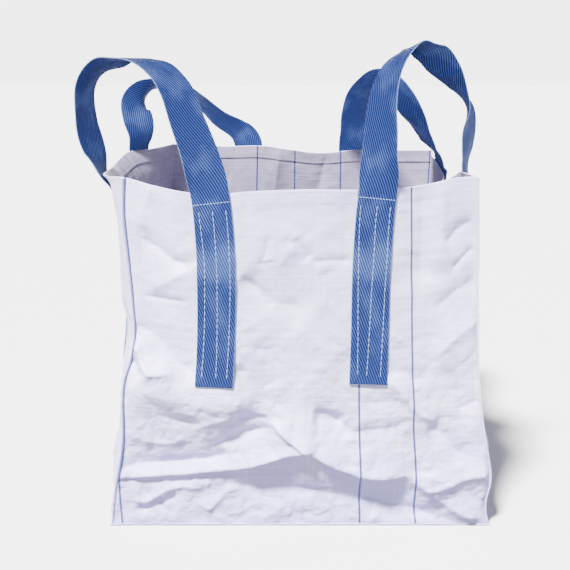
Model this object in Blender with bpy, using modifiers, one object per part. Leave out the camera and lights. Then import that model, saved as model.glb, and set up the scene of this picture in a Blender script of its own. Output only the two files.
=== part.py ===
"""Bulk bag: an open-top bag of woven polypropylene with four webbing lifting loops.

Metres, +Z up. The origin is the middle of the base, on the floor. +X runs to the
right along the front wall, and +Y runs towards the back wall.

The bag is empty and stands on its base, so its walls taper a little and its rim
waves. Each wall is a patch between two corner lines, a straight foot and a waving
rim. Each loop is one length of webbing round a corner. Its two legs are sewn flat
on two walls, and the free arch between them folds over at the rim.
"""

from math import pi, sin

import bmesh
import bpy
import numpy as np
from mathutils import Matrix, Vector

# Driving dimensions
BASE_SIDE = 0.750
FABRIC = 0.0012
WEBBING_WIDTH = 0.074
WEBBING = 0.0025
SEAM_RADIUS = 0.0015
THREAD_RADIUS = 0.0007

WALL_HEIGHT = 0.69            # of the slack walls, cut 0.75 tall
MOUTH_SIDE = 0.68             # from corner to corner of the mouth

HALF_BASE = BASE_SIDE / 2
HALF_WEBBING = WEBBING_WIDTH / 2
SEAM_ROOM = 0.0025            # between a corner line and the edge of a wall
WALL_FOOT = 0.0045            # height at which a wall starts, above the base seam
SEAM_HEIGHT = 0.0020          # middle of the base seam above the floor
STRAP_GAP = 0.0028            # between a wall and the webbing sewn on it
STITCH_GAP = 0.0011
HEM_DEPTH = 0.030             # of the turned-in hem, where its stitching runs
HEM_STITCH_INSET = 0.0034     # of the hem's stitching from the middle of the fabric
BEND_FADE = 6                 # how fast a corner line's bends fade across a wall
LEG_LIFT = FABRIC / 2 + STRAP_GAP + WEBBING / 2
STITCH_LIFT = LEG_LIFT + WEBBING / 2 + STITCH_GAP + THREAD_RADIUS

# A loop turns about the line through the two places where it leaves the rim. The
# legs end just inside a cylinder round that line, and the arch starts outside it.
FOLD_RADIUS = 0.040
FOLD_GAP = 0.0040

# Sewn part of a leg, as fractions of the wall's height
LEG_BOTTOM = 0.44
# Makes the greatest bow of a leg equal to its given bow
BOW_PEAK = 6.75
STITCH_BOTTOM = 0.45
STITCH_TOP = 0.985

WALL_COLUMNS, WALL_ROWS = 16, 9
LEG_ROWS, TONGUE_ROWS, ARCH_ROWS, ARCH_COLUMNS = 9, 2, 26, 3
# Columns across the webbing: its two sides, and the three rows of stitching
WEBBING_COLUMNS = (-1.0, -0.68, 0.04, 0.69, 1.0)

# Corner lines, from the floor to the rim
CORNER_LINES = {
    "front_left": [
        (-HALF_BASE, -HALF_BASE, 0.0), (-0.364, -0.372, 0.085), (-0.350, -0.366, 0.175),
        (-0.344, -0.361, 0.290), (-0.323, -0.352, 0.370), (-0.324, -0.346, 0.450),
        (-0.332, -0.341, 0.540), (-0.338, -0.337, 0.620), (-0.336, -0.335, 0.690)],
    "front_right": [
        (HALF_BASE, -HALF_BASE, 0.0), (0.367, -0.374, 0.038), (0.374, -0.372, 0.094),
        (0.357, -0.365, 0.205), (0.350, -0.360, 0.265), (0.342, -0.352, 0.380),
        (0.339, -0.345, 0.500), (0.337, -0.340, 0.600), (0.334, -0.335, 0.692)],
    "back_right": [
        (HALF_BASE, HALF_BASE, 0.0), (0.370, 0.371, 0.100), (0.357, 0.361, 0.250),
        (0.344, 0.349, 0.450), (0.347, 0.335, 0.688)],
    "back_left": [
        (-HALF_BASE, HALF_BASE, 0.0), (-0.371, 0.370, 0.100), (-0.356, 0.358, 0.250),
        (-0.338, 0.343, 0.450), (-0.315, 0.320, 0.705)],
}

# Each wall: its corner at the left and at the right, seen from outside, how far its
# middle bulges, the power with which the rim's waves fade downwards, and the rim
# points between the corners
WALLS = {
    "front": ("front_left", "front_right", 0.010, 1.5, [
        (-0.280, -0.353, 0.677), (-0.240, -0.366, 0.669), (-0.168, -0.378, 0.6625),
        (-0.090, -0.383, 0.669), (0.0, -0.385, 0.6725), (0.142, -0.372, 0.6715),
        (0.235, -0.355, 0.678), (0.288, -0.346, 0.689)]),
    "right": ("front_right", "back_right", 0.022, 4.0, [
        (0.331, -0.191, 0.688), (0.350, -0.119, 0.684), (0.324, -0.050, 0.652),
        (0.324, 0.080, 0.622), (0.350, 0.170, 0.620), (0.361, 0.215, 0.634),
        (0.342, 0.285, 0.680)]),
    "back": ("back_right", "back_left", 0.016, 3.0, [
        (0.250, 0.346, 0.687), (0.149, 0.345, 0.688), (0.060, 0.345, 0.680),
        (-0.020, 0.334, 0.690), (-0.090, 0.328, 0.700), (-0.127, 0.338, 0.699),
        (-0.165, 0.348, 0.697), (-0.235, 0.350, 0.699)]),
    "left": ("back_left", "front_left", 0.036, 10.0, [
        (-0.357, 0.205, 0.701), (-0.393, 0.135, 0.700), (-0.401, 0.0, 0.691),
        (-0.393, -0.130, 0.689), (-0.398, -0.200, 0.681)]),
}

# Each loop: the wall and place of its two legs (fraction of the wall's width at
# the bottom of the leg and at the rim, and how far it bows to the right between
# them), and the route of its arch from the first leg to the second. A route point
# has its place and the direction across the webbing there.
LOOPS = {
    "front_left": (("front", 0.268, 0.257, 0.011), ("left", 0.765, 0.765, 0.0), [
        ((-0.185, -0.378, 0.732), (0.87, 0.42, 0.26)),
        ((-0.209, -0.375, 0.801), (0.74, 0.60, 0.29)),
        ((-0.231, -0.366, 0.858), (0.63, 0.72, 0.27)),
        ((-0.256, -0.353, 0.888), (0.22, 0.87, 0.42)),
        ((-0.287, -0.340, 0.904), (0.01, 0.98, 0.20)),
        ((-0.318, -0.325, 0.909), (-0.16, 0.98, 0.0)),
        ((-0.353, -0.305, 0.903), (-0.12, 0.94, -0.31)),
        ((-0.400, -0.265, 0.877), (0.15, 0.95, -0.17)),
        ((-0.423, -0.225, 0.833), (0.24, 0.97, 0.0)),
        ((-0.426, -0.195, 0.772), (0.40, 0.91, 0.0)),
        ((-0.416, -0.180, 0.730), (0.42, 0.90, 0.0))]),
    "front_right": (("front", 0.683, 0.712, -0.007), ("right", 0.255, 0.255, 0.0), [
        ((0.1435, -0.375, 0.732), (0.85, -0.52, 0.0)),
        ((0.1455, -0.375, 0.778), (0.76, -0.65, 0.0)),
        ((0.147, -0.373, 0.824), (0.65, -0.76, 0.0)),
        ((0.1555, -0.368, 0.869), (0.47, -0.87, -0.14)),
        ((0.167, -0.360, 0.895), (0.25, -0.93, -0.25)),
        ((0.183, -0.350, 0.915), (0.07, -0.98, -0.15)),
        ((0.209, -0.330, 0.931), (-0.04, -0.99, 0.10)),
        ((0.240, -0.305, 0.922), (0.08, -0.88, 0.44)),
        ((0.272, -0.270, 0.892), (0.30, -0.83, 0.46)),
        ((0.305, -0.240, 0.850), (0.12, -0.98, 0.17)),
        ((0.333, -0.215, 0.809), (-0.38, -0.92, 0.0)),
        ((0.341, -0.190, 0.760), (-0.48, -0.87, 0.0)),
        ((0.343, -0.175, 0.727), (-0.42, -0.91, 0.0))]),
    "back_right": (("back", 0.300, 0.300, 0.0), ("right", 0.865, 0.865, 0.0), [
        ((0.143, 0.330, 0.750), (-0.86, -0.50, 0.0)),
        ((0.146, 0.290, 0.795), (-0.86, -0.50, 0.08)),
        ((0.156, 0.250, 0.829), (-0.84, -0.48, 0.25)),
        ((0.173, 0.208, 0.850), (-0.66, -0.56, 0.48)),
        ((0.196, 0.165, 0.864), (-0.25, -0.72, 0.64)),
        ((0.220, 0.133, 0.855), (0.18, -0.80, 0.57)),
        ((0.240, 0.117, 0.832), (0.40, -0.78, 0.46)),
        ((0.260, 0.126, 0.799), (0.42, -0.80, 0.40)),
        ((0.288, 0.155, 0.755), (0.24, -0.95, 0.15)),
        ((0.314, 0.190, 0.717), (0.10, -0.99, 0.10))]),
    "back_left": (("back", 0.705, 0.705, 0.0), ("left", 0.235, 0.235, 0.0), [
        ((-0.148, 0.366, 0.733), (-0.70, 0.62, -0.30)),
        ((-0.200, 0.375, 0.768), (-0.43, 0.77, -0.48)),
        ((-0.233, 0.365, 0.799), (-0.38, 0.86, -0.34)),
        ((-0.265, 0.335, 0.826), (-0.30, 0.90, -0.30)),
        ((-0.305, 0.285, 0.849), (-0.20, 0.93, -0.25)),
        ((-0.343, 0.240, 0.852), (0.05, 0.97, -0.20)),
        ((-0.374, 0.205, 0.833), (0.45, 0.86, -0.15)),
        ((-0.386, 0.180, 0.806), (0.80, 0.60, -0.05)),
        ((-0.378, 0.165, 0.775), (0.87, 0.45, 0.12)),
        ((-0.371, 0.155, 0.739), (0.67, 0.74, 0.05))]),
}

FABRIC_COLOUR = (0.80, 0.79, 0.88)
WEBBING_COLOUR = (0.06, 0.17, 0.55)
THREAD_COLOUR = (0.85, 0.88, 0.95)


# Geometry

def curve_through(points, steps=10):
    """A smooth curve through the rows of points, sampled as an array of rows.

    Each row's first three numbers are a place, and any others are carried along.
    """
    p = np.array(points, dtype=float)
    length = np.linalg.norm(np.diff(p[:, :3], axis=0), axis=1)[:, None]
    slope = np.diff(p, axis=0) / length
    tangent = np.empty_like(p)
    tangent[0] = slope[0]
    tangent[-1] = slope[-1]
    tangent[1:-1] = (slope[:-1] * length[1:] + slope[1:] * length[:-1]) / (length[:-1] + length[1:])
    samples = []
    for i, span in enumerate(length):
        for h in np.arange(steps) / steps:
            samples.append((2 * h**3 - 3 * h**2 + 1) * p[i] + (3 * h**2 - 2 * h**3) * p[i + 1]
                           + span * ((h**3 - 2 * h**2 + h) * tangent[i]
                                     + (h**3 - h**2) * tangent[i + 1]))
    samples.append(p[-1])
    return np.array(samples)


def at(curve, fraction):
    """The row at a fraction of the curve's length."""
    run = np.r_[0.0, np.cumsum(np.linalg.norm(np.diff(curve[:, :3], axis=0), axis=1))]
    return np.array([np.interp(fraction * run[-1], run, column) for column in curve.T])


def unit(vector):
    return vector / np.linalg.norm(vector)


CORNERS = {name: curve_through(points) for name, points in CORNER_LINES.items()}
RIMS = {}
for wall, (left, right, _, _, middle) in WALLS.items():
    ends = CORNER_LINES[left][-1], CORNER_LINES[right][-1]
    RIMS[wall] = curve_through([ends[0], *middle, ends[1]])


def smooth_wall(wall, u, t):
    """A place on a wall: u from its left to its right corner, t from foot to rim."""
    left, right, bulge, wave_fade, _ = WALLS[wall]
    left_line, right_line, rim = CORNERS[left], CORNERS[right], RIMS[wall]
    foot = (1 - u) * left_line[0] + u * right_line[0]
    top = (1 - u) * rim[0] + u * rim[-1]
    patch = (1 - t) * foot + t * top + t**wave_fade * (at(rim, u) - top)
    left_bend = at(left_line, t) - (1 - t) * left_line[0] - t * left_line[-1]
    right_bend = at(right_line, t) - (1 - t) * right_line[0] - t * right_line[-1]
    bends = (1 - u)**BEND_FADE * left_bend + u**BEND_FADE * right_bend
    outward = unit(np.cross(right_line[0] - left_line[0], (0, 0, 1)))
    return patch + bends + bulge * sin(pi * u) * sin(pi * t) * outward


WALL_LEFT, WALL_RIGHT = SEAM_ROOM / MOUTH_SIDE, 1 - SEAM_ROOM / MOUTH_SIDE
WALL_US = np.linspace(WALL_LEFT, WALL_RIGHT, WALL_COLUMNS + 1)
HEM_T = 1 - HEM_DEPTH / WALL_HEIGHT
WALL_TS = np.r_[np.linspace(WALL_FOOT / WALL_HEIGHT, HEM_T, WALL_ROWS), 1.0]
WALL_GRIDS = {wall: np.array([[smooth_wall(wall, u, t) for t in WALL_TS] for u in WALL_US])
              for wall in WALLS}


def wall_point(wall, u, t):
    """A place on the facets of a wall."""
    column = (u - WALL_LEFT) / (WALL_RIGHT - WALL_LEFT) * WALL_COLUMNS
    row = np.interp(t, WALL_TS, range(WALL_ROWS + 1))
    i = int(np.clip(column, 0, WALL_COLUMNS - 1))
    j = int(np.clip(row, 0, WALL_ROWS - 1))
    across, up = column - i, row - j
    grid = WALL_GRIDS[wall]
    low = (1 - across) * grid[i, j] + across * grid[i + 1, j]
    high = (1 - across) * grid[i, j + 1] + across * grid[i + 1, j + 1]
    return (1 - up) * low + up * high


def wall_normal(wall, u, t, step=0.02):
    """The wall's outward direction at a place."""
    along = wall_point(wall, u + step, t) - wall_point(wall, u - step, t)
    up = wall_point(wall, u, t) - wall_point(wall, u, t - step)
    return unit(np.cross(along, up))


def leg_point(leg, side, t, lift=LEG_LIFT):
    """A place on a sewn leg: side from -1 to 1 across it, t its height on the wall."""
    wall, u_bottom, u_rim, bow = leg
    share = (t - LEG_BOTTOM) / (1 - LEG_BOTTOM)
    middle = u_bottom + share * (u_rim - u_bottom) + BOW_PEAK * bow * share**2 * (1 - share)
    along = wall_point(wall, middle + 0.01, t) - wall_point(wall, middle - 0.01, t)
    u = middle + side * HALF_WEBBING * 0.02 / np.linalg.norm(along)
    return wall_point(wall, u, t) + lift * wall_normal(wall, u, t)


class Ribbon:
    """The free webbing of a loop, from the rim at its first leg to its second."""

    def __init__(self, first_leg, second_leg, route):
        first, second = leg_point(first_leg, 0, 1), leg_point(second_leg, 0, 1)
        first_across = unit(leg_point(first_leg, 1, 1) - leg_point(first_leg, -1, 1))
        second_across = unit(leg_point(second_leg, -1, 1) - leg_point(second_leg, 1, 1))
        rows = [np.r_[first, first_across]]
        rows += [np.r_[place, unit(np.array(across))] for place, across in route]
        rows += [np.r_[second, second_across]]
        self.line = curve_through(rows)
        self.hinge = (first + second) / 2
        self.axis = unit(second - first)

    def point(self, side, fraction):
        """A place on the ribbon: side from -1 to 1 across it, fraction along it."""
        row = at(self.line, fraction)
        ahead = at(self.line, min(fraction + 0.01, 1.0))
        behind = at(self.line, max(fraction - 0.01, 0.0))
        tangent = unit(ahead[:3] - behind[:3])
        across = unit(row[3:] - np.dot(row[3:], tangent) * tangent)
        return row[:3] + side * HALF_WEBBING * across

    def from_axis(self, side, fraction):
        """How far a place on the ribbon is from the fold's axis."""
        arm = self.point(side, fraction) - self.hinge
        return np.linalg.norm(arm - np.dot(arm, self.axis) * self.axis)

    def fold_fraction(self, side, radius, second=False):
        """Where an edge of the ribbon passes a radius round the axis, near one end."""
        low, high = (1.0, 0.7) if second else (0.0, 0.3)
        for _ in range(24):
            middle = (low + high) / 2
            if self.from_axis(side, middle) < radius:
                low = middle
            else:
                high = middle
        return low


# Making objects

def new_material(name, colour, roughness):
    material = bpy.data.materials.new(name)
    material.use_nodes = True
    shader = material.node_tree.nodes["Principled BSDF"]
    shader.inputs["Base Color"].default_value = (*colour, 1.0)
    shader.inputs["Roughness"].default_value = roughness
    shader.inputs["Metallic"].default_value = 0.0
    return material


def add(name, data, colour, roughness=0.6):
    """Puts a mesh or a curve in the bag's collection, with its own material."""
    obj = bpy.data.objects.new(name, data)
    data.materials.append(new_material(f"{name}_material", colour, roughness))
    bag.objects.link(obj)
    return obj


def sheet(name, columns, rows, place, thickness, colour, roughness=0.6):
    """A thick sheet: a grid whose vertex (u, v), both 0 to 1, moves to place(u, v)."""
    grid = bmesh.new()
    bmesh.ops.create_grid(grid, x_segments=columns, y_segments=rows, size=0.5)
    for vertex in grid.verts:
        vertex.co = Vector(place(vertex.co.x + 0.5, vertex.co.y + 0.5))
    mesh = bpy.data.meshes.new(name)
    grid.to_mesh(mesh)
    grid.free()
    mesh.shade_smooth()
    obj = add(name, mesh, colour, roughness)
    skin = obj.modifiers.new("thickness", "SOLIDIFY")
    skin.thickness = thickness
    skin.offset = 0.0
    return obj


def tube(name, points, radius, colour, closed=False):
    """A round thread or seam through the points."""
    curve = bpy.data.curves.new(name, "CURVE")
    curve.dimensions = "3D"
    curve.bevel_depth = radius
    curve.bevel_resolution = 0
    curve.use_fill_caps = True
    line = curve.splines.new("POLY")
    line.points.add(len(points) - 1)
    for point, place in zip(line.points, points):
        point.co = (*place, 1.0)
    line.use_cyclic_u = closed
    return add(name, curve, colour, roughness=0.8)


def move_origin(obj, origin):
    """Moves an object's origin without moving its shape."""
    obj.data.transform(Matrix.Translation(-Vector(origin)))
    obj.location = origin


# Sub-parts

def make_wall(wall):
    """One wall, from just above the base seam to the rim."""

    def place(u, v):
        return WALL_GRIDS[wall][round(u * WALL_COLUMNS), round(v * WALL_ROWS)]

    sheet(f"{wall}_panel", WALL_COLUMNS, WALL_ROWS, place, FABRIC, FABRIC_COLOUR)


def make_base():
    """The square bottom that the bag stands on."""
    side = BASE_SIDE - 2 * SEAM_ROOM

    def place(u, v):
        return ((u - 0.5) * side, (v - 0.5) * side, FABRIC / 2)

    sheet("base_panel", 4, 4, place, FABRIC, FABRIC_COLOUR)


def make_corner_seam(corner):
    """The overlocked seam where two walls meet."""
    before = next(wall for wall, ends in WALLS.items() if ends[1] == corner)
    after = next(wall for wall, ends in WALLS.items() if ends[0] == corner)
    outward = unit(CORNERS[corner][0] * (1, 1, 0)) * SEAM_ROOM
    points = [(wall_point(before, WALL_RIGHT, t) + wall_point(after, WALL_LEFT, t)) / 2 + outward
              for t in (0.012, *WALL_TS[1:-1], 0.996)]
    tube(f"{corner}_corner_seam", points, SEAM_RADIUS, FABRIC_COLOUR)


def make_base_seam(wall):
    """The seam between the foot of a wall and the base."""
    left, right = WALLS[wall][:2]
    start, end = CORNERS[left][0], CORNERS[right][0]
    lift = np.array((0, 0, SEAM_HEIGHT))
    points = [start + (end - start) * f + lift for f in (0.005, 0.25, 0.5, 0.75, 0.995)]
    tube(f"{wall}_base_seam", points, SEAM_RADIUS, FABRIC_COLOUR)


def make_hem_stitching():
    """One thread round the inside of the mouth, at the bottom of the hem."""
    points = []
    for wall in WALLS:
        for u in (0.008, *WALL_US[1:-1], 0.992):
            inset = HEM_STITCH_INSET * wall_normal(wall, u, HEM_T)
            points.append(wall_point(wall, u, HEM_T) - inset)
    tube("rim_hem_stitching", points, THREAD_RADIUS, THREAD_COLOUR, closed=True)


def make_leg(name, leg, ribbon, second):
    """A sewn leg, with the tongue that reaches up to the fold."""
    tongue_share = TONGUE_ROWS / (LEG_ROWS + TONGUE_ROWS)
    flip = -1 if second else 1

    def place(u, v):
        side = np.interp(u * 4, range(5), WEBBING_COLUMNS)
        rise = (v - 1 + tongue_share) / tongue_share
        if rise < 0.01:
            return leg_point(leg, side, LEG_BOTTOM + (1 - LEG_BOTTOM) * v / (1 - tongue_share))
        end = ribbon.fold_fraction(flip * side, FOLD_RADIUS - FOLD_GAP, second)
        start = 1.0 if second else 0.0
        return ribbon.point(flip * side, start + (end - start) * rise)

    sheet(name, 4, LEG_ROWS + TONGUE_ROWS, place, WEBBING, WEBBING_COLOUR)


def make_leg_stitching(name, leg):
    """The thread of a leg: a row across the top, then three rows joined up and down."""
    leg_rows = np.linspace(LEG_BOTTOM, 1.0, LEG_ROWS + 1)

    def on_leg(side, t):
        """Above the flat facet of the leg between two of its rows."""
        row = min(int(np.searchsorted(leg_rows, t, side="right")), LEG_ROWS)
        low, high = leg_rows[row - 1], leg_rows[row]
        share = (t - low) / (high - low)
        return ((1 - share) * leg_point(leg, side, low, STITCH_LIFT)
                + share * leg_point(leg, side, high, STITCH_LIFT))

    rows = WEBBING_COLUMNS[1:4]
    points = [on_leg(side, STITCH_TOP) for side in rows]
    heights = [STITCH_BOTTOM, *leg_rows[1:-1], STITCH_TOP - 0.02]
    for side in reversed(rows):
        heights.reverse()
        points += [on_leg(side, t) for t in heights]
    tube(name, points, THREAD_RADIUS, THREAD_COLOUR)


def make_arch(name, ribbon):
    """The free part of a loop, between the two folds at the rim."""

    def place(u, v):
        side = 2 * u - 1
        start = ribbon.fold_fraction(side, FOLD_RADIUS)
        end = ribbon.fold_fraction(side, FOLD_RADIUS, second=True)
        return ribbon.point(side, start + (end - start) * v)

    arch = sheet(name, ARCH_COLUMNS, ARCH_ROWS, place, WEBBING, WEBBING_COLOUR)
    move_origin(arch, ribbon.hinge)


def make_loop(corner):
    """A lifting loop: its two legs, their stitching and its arch."""
    first, second, route = LOOPS[corner]
    ribbon = Ribbon(first, second, route)
    legs = ((f"{corner}_loop_{first[0]}_leg", first), (f"{corner}_loop_side_leg", second))
    for name, leg in legs:
        make_leg(name, leg, ribbon, second=leg is second)
        make_leg_stitching(f"{name}_stitching", leg)
    make_arch(f"{corner}_loop_arch", ribbon)


for old in list(bpy.data.objects):
    bpy.data.objects.remove(old)
bag = bpy.data.collections.new("bulk_bag")
bpy.context.scene.collection.children.link(bag)

make_base()
for wall in WALLS:
    make_wall(wall)
    make_base_seam(wall)
for corner in CORNER_LINES:
    make_corner_seam(corner)
    make_loop(corner)
make_hem_stitching()
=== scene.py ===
"""The looks of the bulk bag: slack woven fabric with folds, four webbing loops, thread.

Metres, +Z up, in the frame of the CAD part. The fabric is one lofted shell of four
walls with a turned-in hem. Its folds are creases drawn on the walls, each with a
crest and two flanks. The loops are ribbons that lie on the walls where they are sewn.
"""

from math import cos, pi, radians, sin

import bmesh
import bpy
import numpy as np
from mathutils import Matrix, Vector


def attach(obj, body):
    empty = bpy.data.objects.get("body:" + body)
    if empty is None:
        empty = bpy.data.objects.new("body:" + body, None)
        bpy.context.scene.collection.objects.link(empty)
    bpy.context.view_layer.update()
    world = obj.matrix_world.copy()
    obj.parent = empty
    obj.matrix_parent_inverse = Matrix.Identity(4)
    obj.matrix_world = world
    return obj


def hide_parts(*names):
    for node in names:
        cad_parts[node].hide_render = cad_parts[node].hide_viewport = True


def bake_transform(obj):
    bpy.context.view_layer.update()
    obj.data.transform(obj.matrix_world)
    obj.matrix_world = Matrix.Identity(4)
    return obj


# Driving dimensions
BASE_SIDE = 0.750
WALL_HEIGHT = 0.69            # of the slack walls
PANEL_SIDE = 0.75             # of each wall as it was cut, without its hem
HEM_DEPTH = 0.030
FABRIC = 0.0009
WEBBING_WIDTH = 0.074
WEBBING = 0.0024
THREAD_RADIUS = 0.00048

HALF_BASE = BASE_SIDE / 2
HALF_WEBBING = WEBBING_WIDTH / 2
BEND_FADE = 6                 # how fast a corner line's bends fade across a wall
EDGE_GAP = 0.002              # from a wall's corner line to its sheet, as a share
FOOT_GAP = 0.004              # from a wall's foot to its sheet, as a share
HEM_FOLD = 0.0006             # radius of the fold at the rim
LEG_LIFT = 0.0030             # middle of the webbing above the middle of the fabric
LEG_BOTTOM = 0.44             # lower end of the sewn webbing, as a share of the wall
BOW_PEAK = 6.75               # makes a leg's greatest bow equal to its given bow
LEG_ROOT = 0.995              # where a leg starts to leave the wall for its arch

RIB_PITCH = 0.0050            # between the webbing's diagonal ribs, across it
RIB_SLOPE = 0.40              # how far a rib runs across for each metre along
RIB_RELIEF = 0.00016          # depth of the grooves between the ribs
YARN_PITCH = 0.0021           # between the webbing's yarns, along it
PALE_EDGE = 0.0009            # width of the webbing's paler edge
HIGHLIGHT_BAND = 0.235             # middle of the band of painted highlight, from the webbing's end
HIGHLIGHT_REACH = 0.035            # how far the band reaches to each side

# Stitches on the legs: each row's place across the leg at its foot and at the rim, as
# shares of half the width
STITCH_SIDES = ((-0.66, -0.70), (0.06, 0.02), (0.66, 0.72))
STITCH_LENGTH, STITCH_SPACE = 0.0085, 0.0022
BAR_STITCH_LENGTH, BAR_STITCH_SPACE = 0.0038, 0.0022
BAR_DROP = 0.016              # from the rim to the row that crosses the leg
ROW_DROP = 0.030              # from the rim to the long rows

# Stitches of the hem
HEM_STITCH_LENGTH, HEM_STITCH_SPACE = 0.0050, 0.0016
HEM_THREAD = 0.0004           # radius
HEM_STITCH_RUNS = 24          # along each wall

# Weave
TAPE = 0.0026                 # width of the woven fabric's flat tapes
FOOT_SHADE_HEIGHT = 0.26            # painted shade darkens the fabric up to here
FOOT_SHADE = 0.75                   # how much darker the painted shade makes it at the foot
CREASES = 60.0                # depth of its finest creases, against the weave's relief

# Detail of the meshes
WALL_COLUMNS, WALL_ROWS = 240, 240
HEM_ROWS = 14
HEM_TURNS = (40, 80, 120, 160)    # degrees round the fold at the rim, one row at each
STRAP_ROWS, STRAP_COLUMNS = 700, 72

# Corner lines, from the floor to the rim
CORNER_LINES = {
    "front_left": [
        (-HALF_BASE, -HALF_BASE, 0.0), (-0.364, -0.372, 0.085), (-0.35, -0.366, 0.175),
        (-0.344, -0.361, 0.29), (-0.323, -0.352, 0.37), (-0.324, -0.346, 0.45),
        (-0.332, -0.341, 0.54), (-0.338, -0.337, 0.62), (-0.336, -0.335, 0.69)],
    "front_right": [
        (HALF_BASE, -HALF_BASE, 0.0), (0.367, -0.374, 0.038), (0.374, -0.372, 0.094),
        (0.357, -0.365, 0.205), (0.35, -0.36, 0.265), (0.342, -0.352, 0.38),
        (0.339, -0.345, 0.5), (0.337, -0.34, 0.6), (0.334, -0.335, 0.692)],
    "back_right": [
        (HALF_BASE, HALF_BASE, 0.0), (0.37, 0.371, 0.1), (0.357, 0.361, 0.25),
        (0.344, 0.349, 0.45), (0.347, 0.335, 0.688)],
    "back_left": [
        (-HALF_BASE, HALF_BASE, 0.0), (-0.371, 0.37, 0.1), (-0.356, 0.358, 0.25),
        (-0.338, 0.343, 0.45), (-0.315, 0.32, 0.705)],
}

# Each wall: its corner at the left and at the right, seen from outside, how far its
# middle bulges, the power with which the rim's waves fade downwards, and the rim
# points between the corners
WALLS = {
    "front": ("front_left", "front_right", 0.01, 1.5, [
        (-0.28, -0.353, 0.677), (-0.24, -0.366, 0.669), (-0.168, -0.378, 0.6625),
        (-0.09, -0.383, 0.669), (0.0, -0.385, 0.6725), (0.142, -0.372, 0.6715),
        (0.235, -0.355, 0.678), (0.288, -0.346, 0.689)]),
    "right": ("front_right", "back_right", 0.022, 4.0, [
        (0.331, -0.191, 0.688), (0.35, -0.119, 0.684), (0.324, -0.05, 0.652),
        (0.324, 0.08, 0.622), (0.35, 0.17, 0.62), (0.361, 0.215, 0.634),
        (0.342, 0.285, 0.68)]),
    "back": ("back_right", "back_left", 0.016, 3.0, [
        (0.25, 0.346, 0.687), (0.149, 0.345, 0.688), (0.06, 0.345, 0.68),
        (-0.02, 0.334, 0.69), (-0.09, 0.328, 0.7), (-0.127, 0.338, 0.699),
        (-0.165, 0.348, 0.697), (-0.235, 0.35, 0.699)]),
    "left": ("back_left", "front_left", 0.036, 10.0, [
        (-0.357, 0.205, 0.701), (-0.393, 0.135, 0.7), (-0.401, 0.0, 0.691),
        (-0.393, -0.13, 0.689), (-0.398, -0.2, 0.681)]),
}

# Each loop: the wall and place of its two legs (share of the wall's width at the
# bottom of the leg and at the rim, and how far it bows to the right between them), and
# the route of its arch from the first leg to the second. A route point has its place
# and the direction across the webbing there.
LOOPS = {
    "front_left": (("front", 0.268, 0.257, 0.011), ("left", 0.765, 0.765, 0.0), [
        ((-0.185, -0.378, 0.732), (0.87, 0.42, 0.26)),
        ((-0.209, -0.375, 0.801), (0.74, 0.6, 0.29)),
        ((-0.231, -0.366, 0.858), (0.63, 0.72, 0.27)),
        ((-0.256, -0.353, 0.888), (0.22, 0.87, 0.42)),
        ((-0.287, -0.34, 0.904), (0.01, 0.98, 0.2)),
        ((-0.318, -0.325, 0.909), (-0.16, 0.98, 0.0)),
        ((-0.353, -0.305, 0.903), (-0.12, 0.94, -0.31)),
        ((-0.4, -0.265, 0.877), (0.15, 0.95, -0.17)),
        ((-0.423, -0.225, 0.833), (0.24, 0.97, 0.0)),
        ((-0.426, -0.195, 0.772), (0.4, 0.91, 0.0)),
        ((-0.416, -0.18, 0.73), (0.42, 0.9, 0.0))]),
    "front_right": (("front", 0.683, 0.712, -0.007), ("right", 0.255, 0.255, 0.0), [
        ((0.1435, -0.375, 0.732), (0.85, -0.52, 0.0)),
        ((0.1455, -0.375, 0.778), (0.76, -0.65, 0.0)),
        ((0.147, -0.373, 0.824), (0.65, -0.76, 0.0)),
        ((0.1555, -0.368, 0.869), (0.47, -0.87, -0.14)),
        ((0.167, -0.36, 0.895), (0.25, -0.93, -0.25)),
        ((0.183, -0.35, 0.915), (0.07, -0.98, -0.15)),
        ((0.209, -0.33, 0.931), (-0.04, -0.99, 0.1)),
        ((0.24, -0.305, 0.922), (0.08, -0.88, 0.44)),
        ((0.272, -0.27, 0.892), (0.3, -0.83, 0.46)),
        ((0.305, -0.24, 0.85), (0.12, -0.98, 0.17)),
        ((0.333, -0.215, 0.809), (-0.38, -0.92, 0.0)),
        ((0.341, -0.19, 0.76), (-0.48, -0.87, 0.0)),
        ((0.343, -0.175, 0.727), (-0.42, -0.91, 0.0))]),
    "back_right": (("back", 0.3, 0.3, 0.0), ("right", 0.865, 0.865, 0.0), [
        ((0.143, 0.33, 0.75), (-0.86, -0.5, 0.0)),
        ((0.146, 0.29, 0.795), (-0.86, -0.5, 0.08)),
        ((0.156, 0.25, 0.829), (-0.84, -0.48, 0.25)),
        ((0.173, 0.208, 0.85), (-0.66, -0.56, 0.48)),
        ((0.196, 0.165, 0.864), (-0.25, -0.72, 0.64)),
        ((0.22, 0.133, 0.855), (0.18, -0.8, 0.57)),
        ((0.24, 0.117, 0.832), (0.4, -0.78, 0.46)),
        ((0.26, 0.126, 0.799), (0.42, -0.8, 0.4)),
        ((0.288, 0.155, 0.755), (0.24, -0.95, 0.15)),
        ((0.314, 0.19, 0.717), (0.1, -0.99, 0.1))]),
    "back_left": (("back", 0.705, 0.705, 0.0), ("left", 0.235, 0.235, 0.0), [
        ((-0.148, 0.366, 0.733), (-0.7, 0.62, -0.3)),
        ((-0.2, 0.375, 0.768), (-0.43, 0.77, -0.48)),
        ((-0.233, 0.365, 0.799), (-0.38, 0.86, -0.34)),
        ((-0.265, 0.335, 0.826), (-0.3, 0.9, -0.3)),
        ((-0.305, 0.285, 0.849), (-0.2, 0.93, -0.25)),
        ((-0.343, 0.24, 0.852), (0.05, 0.97, -0.2)),
        ((-0.374, 0.205, 0.833), (0.45, 0.86, -0.15)),
        ((-0.386, 0.18, 0.806), (0.8, 0.6, -0.05)),
        ((-0.378, 0.165, 0.775), (0.87, 0.45, 0.12)),
        ((-0.371, 0.155, 0.739), (0.67, 0.74, 0.05))]),
}

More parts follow.
